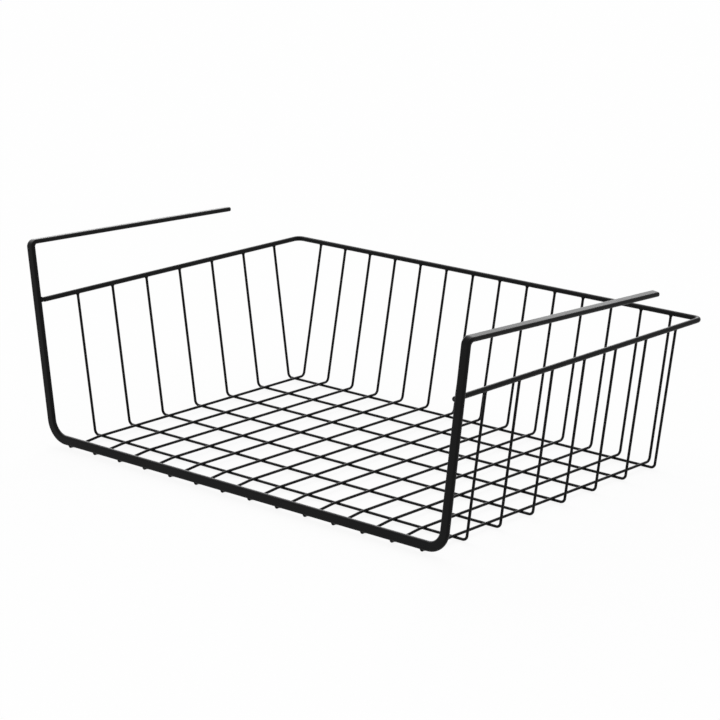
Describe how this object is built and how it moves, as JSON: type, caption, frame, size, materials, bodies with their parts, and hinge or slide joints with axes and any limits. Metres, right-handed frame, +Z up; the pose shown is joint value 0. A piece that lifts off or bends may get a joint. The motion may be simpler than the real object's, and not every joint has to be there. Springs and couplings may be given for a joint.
{
  "type": "under-shelf wire basket",
  "caption": "Open-front basket of welded black coated steel wire that hangs below a shelf board on the two arms of its flat bar front frame.",
  "frame": {"origin": "under the middle of the basket, on the plane that the floor wires stand on", "axes": "+X to the right seen from the open front, +Y from the open front to the back wall, +Z up"},
  "size_m": [0.4, 0.262, 0.1445],
  "materials": {
    "black_powder_coat": "satin black powder coat"
  },
  "bodies": {
    "root": {"hanger_frame": "black_powder_coat", "rim_wire": "black_powder_coat", "cross_wire_1": "black_powder_coat", "cross_wire_2": "black_powder_coat", "cross_wire_3": "black_powder_coat", "cross_wire_4": "black_powder_coat", "cross_wire_5": "black_powder_coat", "cross_wire_6": "black_powder_coat", "cross_wire_7": "black_powder_coat", "long_wire_01": "black_powder_coat", "long_wire_02": "black_powder_coat", "long_wire_03": "black_powder_coat", "long_wire_04": "black_powder_coat", "long_wire_05": "black_powder_coat", "long_wire_06": "black_powder_coat", "long_wire_07": "black_powder_coat", "long_wire_08": "black_powder_coat", "long_wire_09": "black_powder_coat", "long_wire_10": "black_powder_coat", "long_wire_11": "black_powder_coat", "long_wire_12": "black_powder_coat", "long_wire_13": "black_powder_coat", "long_wire_14": "black_powder_coat"}
  },
  "joints": []
}
